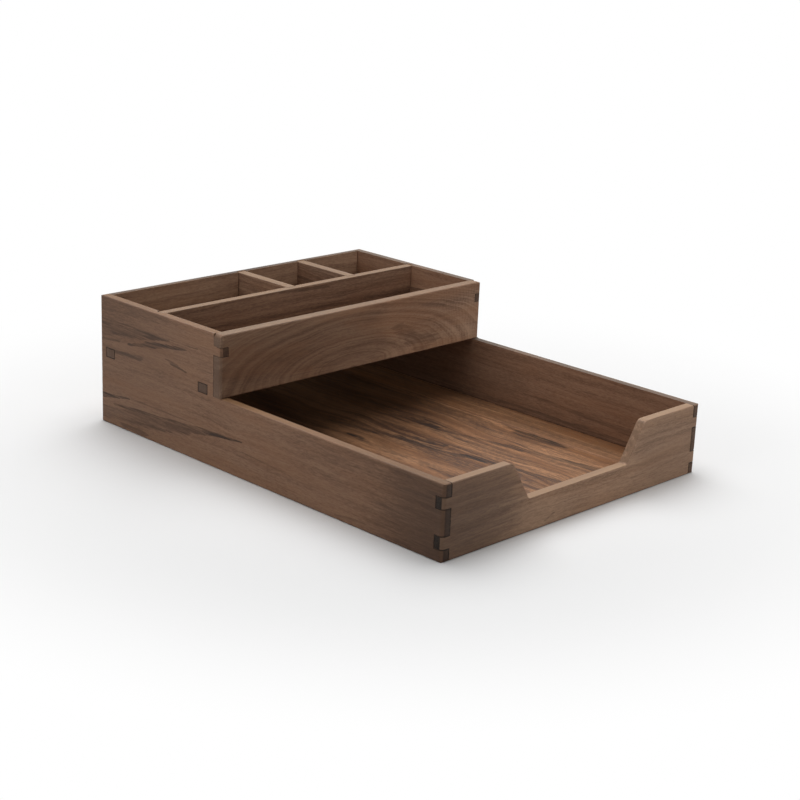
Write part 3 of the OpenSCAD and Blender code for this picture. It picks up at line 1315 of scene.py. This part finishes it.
    def side(
        self, name: str, node: str, seed: float, rim: Colour, streaks_and_shade: tuple[StreakAndShade, ...]
    ) -> None:
        """Makes one L-shaped side board.

        Args:
            name: The piece's name.
            node: The CAD node's name.
            seed: Seed of the board's figure.
            rim: Colour of its top edge.
            streaks_and_shade: Its dark heartwood lines, and its patches of painted shade.
        """
        finish = WalnutFinish(
            name=f"walnut_{name}",
            grain=Grain.SIDE_BOARD,
            tone=FACE_TONE,
            heart=(60.0, -110.0, 40.0),
            ring_stretch=0.12,
            ring_gap=4.5,
            ring_contrast=0.22,
            drift_contrast=0.4,
            end_dark=0.7,
            seed=seed,
            rim=rim,
            streaks_and_shade=streaks_and_shade,
        )
        self.stock.jointed(name, node, finish, self.arris)

    def front_rail(self) -> None:
        """Makes the front rail with its finger cut-out."""
        finish = WalnutFinish(
            name="walnut_front_rail",
            grain=Grain.CROSS_BOARD,
            tone=RAIL_TONE,
            heart=(-30.0, -70.0, 30.0),
            ring_stretch=0.06,
            ring_gap=4.0,
            ring_contrast=0.35,
            end_dark=0.95,
            seed=3.0,
            rim=srgb(150, 121, 94),
            streaks_and_shade=(
                StreakAndShade(94.0, 36.0, 105.0, 39.0, 1.4, 1.8, 0.5, 2.0),
                StreakAndShade(-31.0, 4.0, -24.0, 7.0, 0.5, 0.7, 0.5, 1.0),
                # Broad patches of painted shade: the rail darkens towards the front corner at its left
                # end.
                StreakAndShade(-130.0, 22.0, -106.0, 22.0, 34.0, 30.0, 0.64, 6.0, 1.0),
                StreakAndShade(-130.0, 22.0, -90.0, 22.0, 52.0, 34.0, 0.58, 9.0, 1.0),
                # Broad patch of painted shade at the rail's right end.
                StreakAndShade(84.0, 26.0, 126.0, 26.0, 26.0, 30.0, 0.3, 6.0, 1.0),
                StreakAndShade(-118.0, 34.0, -66.0, 29.0, 1.6, 0.8, 0.4, 3.0),
                StreakAndShade(56.0, 12.0, 112.0, 15.0, 1.0, 1.4, 0.4, 2.0),
                StreakAndShade(-110.0, 10.0, -50.0, 16.0, 1.4, 0.8, 0.3, 3.0),
            ),
        )
        self.stock.jointed("front_rail_board", "front_rail", finish, self.arris)

    def back_board(self) -> None:
        """Makes the back board."""
        finish = WalnutFinish(
            name="walnut_back_board",
            grain=Grain.CROSS_BOARD,
            tone=RAIL_TONE,
            heart=(40.0, -60.0, 60.0),
            ring_stretch=0.1,
            ring_gap=4.5,
            ring_contrast=0.45,
            seed=4.0,
            # The back board's top edge is painted near black: painted shade.
            rim=srgb(36, 30, 25),
            rim_share=0.9,
            streaks_and_shade=(
                StreakAndShade(-118.0, 56.0, -10.0, 64.0, 4.0, 1.0, 0.7, 4.0),
                StreakAndShade(110.0, 22.0, 10.0, 28.0, 6.0, 1.2, 0.7, 4.0),
                StreakAndShade(60.0, 70.0, 30.0, 72.0, 1.6, 0.8, 0.5, 3.0),
                StreakAndShade(-124.0, 75.0, 124.0, 75.0, 24.0, 24.0, 0.16, 6.0, 1.0),
            ),
        )
        self.stock.jointed("back_board_full", "back_board", finish, self.arris)

    def base(self) -> None:
        """Makes the two staves of the base."""
        wide = WalnutFinish(
            name="walnut_base_wide",
            grain=Grain.BASE,
            tone=BASE_TONE,
            rim_share=0.0,
            heart=(0.0, -160.0, 20.0),
            ring_stretch=0.06,
            ring_gap=5.0,
            ring_contrast=0.5,
            wobble=18.0,
            wave=8.0,
            drift_contrast=0.8,
            fibre_contrast=0.7,
            warmth=0.5,
            flecks=0.5,
            seed=5.0,
            streaks_and_shade=self.base_streaks_and_shade,
            knots=self.base_knots,
        )
        narrow = WalnutFinish(
            name="walnut_base_narrow",
            grain=Grain.BASE,
            tone=BASE_TONE,
            rim_share=0.0,
            heart=(0.0, 190.0, 20.0),
            ring_stretch=0.05,
            ring_gap=4.0,
            warmth=0.8,
            flecks=0.4,
            seed=6.0,
            streaks_and_shade=(StreakAndShade(-160.0, 108.0, 160.0, 108.0, 30.0, 30.0, 0.1, 4.0, 1.0),),
        )
        self.stock.plain("base_wide", "base_stave_wide", wide, True, self.arris)
        self.stock.plain("base_narrow", "base_stave_narrow", narrow, True, self.arris)

    def build(self) -> None:
        """Makes every board of the bay."""
        self.side("left_side_board", "left_side", 1.0, srgb(118, 88, 60), self.side_streaks_and_shade)
        self.side(
            "right_side_board",
            "right_side",
            2.0,
            srgb(80, 70, 60),
            (
                StreakAndShade(168.0, 30.0, 70.0, 36.0, 5.0, 1.0, 0.7, 4.0),
                StreakAndShade(-160.0, 14.0, -20.0, 20.0, 3.5, 0.6, 0.4, 3.0),
                # Painted shade along the foot of the right side, just above the base.
                StreakAndShade(-150.0, 6.0, 60.0, 7.0, 3.0, 3.0, 0.55, 1.0),
                StreakAndShade(150.0, 72.0, 90.0, 76.0, 2.6, 0.8, 0.6, 3.0),
                # Broad patch of painted shade over the rear of the right side, which stands in the
                # shade under the tray.
                StreakAndShade(168.0, 25.0, 10.0, 25.0, 44.0, 30.0, 0.25, 8.0, 1.0),
            ),
        )
        self.front_rail()
        self.back_board()
        self.base()


@dataclass
class RaisedTray:
    """The raised tray: its front board, its floor and the three dividers.

    Attributes:
        stock: Where its boards come from.
        arris: Width of the eased edges.
        ring_heart: Centre of the front board's cathedral figure, in millimetres.
    """

    stock: BoardStock
    arris: float = 0.00035
    ring_heart: Triple = (-4.0, 50.0, 36.0)

    def front(self) -> None:
        """Makes the front board, with its nested arches of grain."""
        finish = WalnutFinish(
            name="walnut_tray_front",
            grain=Grain.CROSS_BOARD,
            tone=ARCH_TONE,
            heart=self.ring_heart,
            ring_stretch=0.33,
            ring_gap=2.6,
            ring_contrast=0.52,
            wobble=8.0,
            wave=1.0,
            drift_contrast=0.55,
            fibre_contrast=0.35,
            warmth=0.5,
            curl=0.07,
            curl_from=105.0,
            seed=7.0,
            end_dark=0.6,
            rim=srgb(121, 98, 76),
            streaks_and_shade=(
                StreakAndShade(-64.0, 54.0, -42.0, 56.0, 3.5, 5.5, 0.5, 5.0),
                StreakAndShade(-40.0, 57.0, -8.0, 57.0, 5.0, 3.5, 0.3, 6.0),
                StreakAndShade(42.0, 71.0, 60.0, 56.0, 3.0, 6.0, 0.45, 6.0),
                # Broad patch of painted shade over the left half of the front board.
                StreakAndShade(-120.0, 68.0, 4.0, 68.0, 30.0, 24.0, 0.36, 9.0, 1.0),
            ),
        )
        self.stock.jointed("tray_front_board", "tray_front", finish, self.arris)

    def floor(self) -> None:
        """Makes the floor, whose tenons show in the side boards."""
        finish = WalnutFinish(
            name="walnut_tray_floor",
            grain=Grain.TRAY_FLOOR,
            tone=TRAY_TONE,
            rim_share=0.0,
            heart=(0.0, -20.0, 60.0),
            ring_gap=4.0,
            seed=8.0,
            end_dark=0.6,
            streaks_and_shade=(
                StreakAndShade(-125.0, 54.0, -116.0, 54.0, 9.0, 9.0, 0.6, 1.0, 1.0),
                StreakAndShade(125.0, 54.0, 116.0, 54.0, 9.0, 9.0, 0.6, 1.0, 1.0),
            ),
        )
        self.stock.jointed("tray_floor_board", "tray_floor", finish, self.arris)

    def dividers(self) -> None:
        """Makes the long divider and the two cross dividers."""
        long_finish = WalnutFinish(
            name="walnut_long_divider",
            grain=Grain.CROSS_BOARD,
            tone=TRAY_TONE,
            heart=(20.0, -30.0, 90.0),
            ring_gap=4.0,
            seed=9.0,
            streaks_and_shade=(StreakAndShade(-14.0, 91.0, 28.0, 89.5, 0.8, 1.4, 0.6, 2.0),),
        )
        self.stock.jointed("long_divider_board", "long_divider", long_finish, self.arris)
        for side, seed in (("left", 10.0), ("right", 11.0)):
            finish = WalnutFinish(
                name=f"walnut_cross_divider_{side}",
                grain=Grain.SIDE_BOARD,
                tone=TRAY_TONE,
                heart=(140.0, 20.0, 0.0),
                ring_gap=4.0,
                seed=seed,
            )
            node = f"cross_divider_{side}"
            self.stock.plain(f"{node}_board", node, finish, True, self.arris)

    def build(self) -> None:
        """Makes every board of the tray."""
        self.front()
        self.floor()
        self.dividers()


@dataclass(frozen=True)
class SoftBox:
    """A square studio lamp.

    Attributes:
        name: Its name.
        place: Where it hangs.
        size: Length of its side.
        power: Watts.
        aim: The point that it faces.
        spread: Degrees over which its grid lets light out.
    """

    name: str
    place: Triple
    size: float
    power: float
    aim: Triple = (0.0, 0.0, 0.04)
    spread: float = 180.0

    def build(self) -> None:
        """Hangs the lamp."""
        data = bpy.data.lights.new(self.name, "AREA")
        data.shape = "SQUARE"
        data.size = self.size
        data.energy = self.power
        data.spread = math.radians(self.spread)
        lamp = bpy.data.objects.new(self.name, data)
        bpy.context.scene.collection.objects.link(lamp)
        lamp.location = self.place
        lamp.rotation_euler = (
            (Vector(self.aim) - Vector(self.place)).to_track_quat("-Z", "Y").to_euler()
        )
        LOG.info("%s: %.1f W", self.name, self.power)


@dataclass
class Studio:
    """The pale floor, the white world and the soft boxes.

    Attributes:
        lamps: The soft boxes.
        floor_size: Length of the floor's side.
        floor_seen: The floor's colour to the camera.
        floor_bounce: The floor's colour to the light that it throws back.
        world_light: Strength of the world's own light on the object.
        near: Distance from the middle at which the floor starts to fade to white.
        far: Distance at which it has become white.
    """

    lamps: tuple[SoftBox, ...] = (
        SoftBox("key_softbox", (0.34, 0.44, 1.54), 2.0, 37.5),
        SoftBox("left_softbox", (-1.2, 0.06, 0.38), 0.5, 0.235, (-0.12, 0.02, 0.05), 40.0),
        SoftBox("front_softbox", (-0.05, -1.25, 0.38), 0.4, 0.14, (0.11, -0.17, 0.05), 23.0),
    )
    floor_size: float = 16.0
    floor_seen: Colour = (0.82, 0.82, 0.82, 1.0)
    floor_bounce: Colour = (0.36, 0.36, 0.36, 1.0)
    world_light: float = 0.13
    near: float = 0.19
    far: float = 0.42

    @staticmethod
    def seen_directly(web: NodeWeb) -> NodeSocket:
        """Tells the rays that show the background from the light on the object.

        Args:
            web: The nodes of the floor or of the world.

        Returns:
            1 for rays that the camera sees, also in a gloss or through glass, and 0 for light.
        """
        path = web.add("ShaderNodeLightPath").outputs
        mirrored = web.math("MAXIMUM", path["Is Glossy Ray"], path["Is Transmission Ray"])
        return web.math("MAXIMUM", path["Is Camera Ray"], mirrored)

    def floor_material(self) -> Material:
        """Builds the floor's material: it keeps the shadow and fades to white around it.

        Returns:
            The material.
        """
        made = bpy.data.materials.new("studio_floor")
        made.use_nodes = True
        nodes = made.node_tree.nodes
        nodes.remove(nodes["Principled BSDF"])
        web = NodeWeb(made.node_tree)
        seen = self.seen_directly(web)
        colour = web.blend(seen, self.floor_bounce, self.floor_seen)
        paint = web.add("ShaderNodeBsdfDiffuse", {"Color": colour})
        own = web.add("ShaderNodeTexCoord").outputs["Object"]
        white = web.remap(web.vector("LENGTH", own), self.near, self.far)
        glow = web.add("ShaderNodeEmission", {"Color": WHITE, "Strength": 1.0})
        parts = {0: web.math("MULTIPLY", seen, white), 1: paint.outputs[0], 2: glow.outputs[0]}
        mix = web.add("ShaderNodeMixShader", parts)
        web.feed(nodes["Material Output"].inputs["Surface"], mix.outputs[0])
        return made

    def floor(self) -> None:
        """Lays the floor."""
        half = self.floor_size / 2
        mesh = bpy.data.meshes.new("studio_floor")
        corners = [(-half, -half, 0), (half, -half, 0), (half, half, 0), (-half, half, 0)]
        mesh.from_pydata(corners, [], [(0, 1, 2, 3)])
        mesh.materials.append(self.floor_material())
        floor = bpy.data.objects.new("studio_floor", mesh)
        bpy.context.scene.collection.objects.link(floor)

    def world(self) -> None:
        """Makes the world white to the camera and dim to the object."""
        world = bpy.data.worlds.new("studio_world")
        bpy.context.scene.world = world
        world.use_nodes = True
        web = NodeWeb(world.node_tree)
        background = world.node_tree.nodes["Background"]
        background.inputs["Color"].default_value = WHITE
        seen = self.seen_directly(web)
        extra = web.math("MULTIPLY", seen, 1.0 - self.world_light)
        web.feed(background.inputs["Strength"], web.math("ADD", extra, self.world_light))

    def build(self) -> None:
        """Makes the whole studio."""
        bpy.context.scene.view_settings.view_transform = "Standard"
        self.floor()
        self.world()
        for lamp in self.lamps:
            lamp.build()


@dataclass(frozen=True)
class PhotoCamera:
    """The camera at the photograph's place.

    Attributes:
        place: Where it stands.
        azimuth: Degrees round the object, 0 looking along +Y.
        elevation: Degrees above the horizon.
        roll: Degrees that the camera is turned about its own axis.
        focal_pixels: Focal length in the photograph's pixels.
        nearest: Where its view starts.
        farthest: Where its view ends.
    """

    place: Triple = (-0.8211, -0.81383, 0.40353)
    azimuth: float = -45.52
    elevation: float = 17.74
    roll: float = 2.38
    focal_pixels: float = 1742.98
    nearest: float = 0.05
    farthest: float = 50.0

    def build(self) -> None:
        """Sets up the camera."""
        turn, rise, roll = (math.radians(v) for v in (self.azimuth, self.elevation, self.roll))
        flat = math.cos(rise)
        back = Vector((math.sin(turn) * flat, -math.cos(turn) * flat, math.sin(rise)))
        level = (-back).cross(Vector((0.0, 0.0, 1.0))).normalized()
        upright = back.cross(level)
        right = level * math.cos(roll) + upright * math.sin(roll)
        up = upright * math.cos(roll) - level * math.sin(roll)
        data = bpy.data.cameras.new("photo_camera")
        data.sensor_width = SENSOR
        data.lens = self.focal_pixels / PHOTO_PIXELS * SENSOR
        data.clip_start = self.nearest
        data.clip_end = self.farthest
        camera = bpy.data.objects.new("photo_camera", data)
        bpy.context.scene.collection.objects.link(camera)
        turned = Matrix((right, up, back)).transposed().to_4x4()
        camera.matrix_world = Matrix.Translation(self.place) @ turned
        bpy.context.scene.camera = camera
        LOG.info("camera: %.1f mm lens", data.lens)


def main() -> None:
    """Builds the organizer, the studio and the camera."""
    logging.basicConfig(level=logging.INFO, format="%(message)s", stream=sys.stdout)
    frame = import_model()
    stock = BoardStock(frame, WoodEffects())
    PaperBay(stock).build()
    RaisedTray(stock).build()
    Studio().build()
    PhotoCamera().build()


if __name__ == "__main__":
    main()
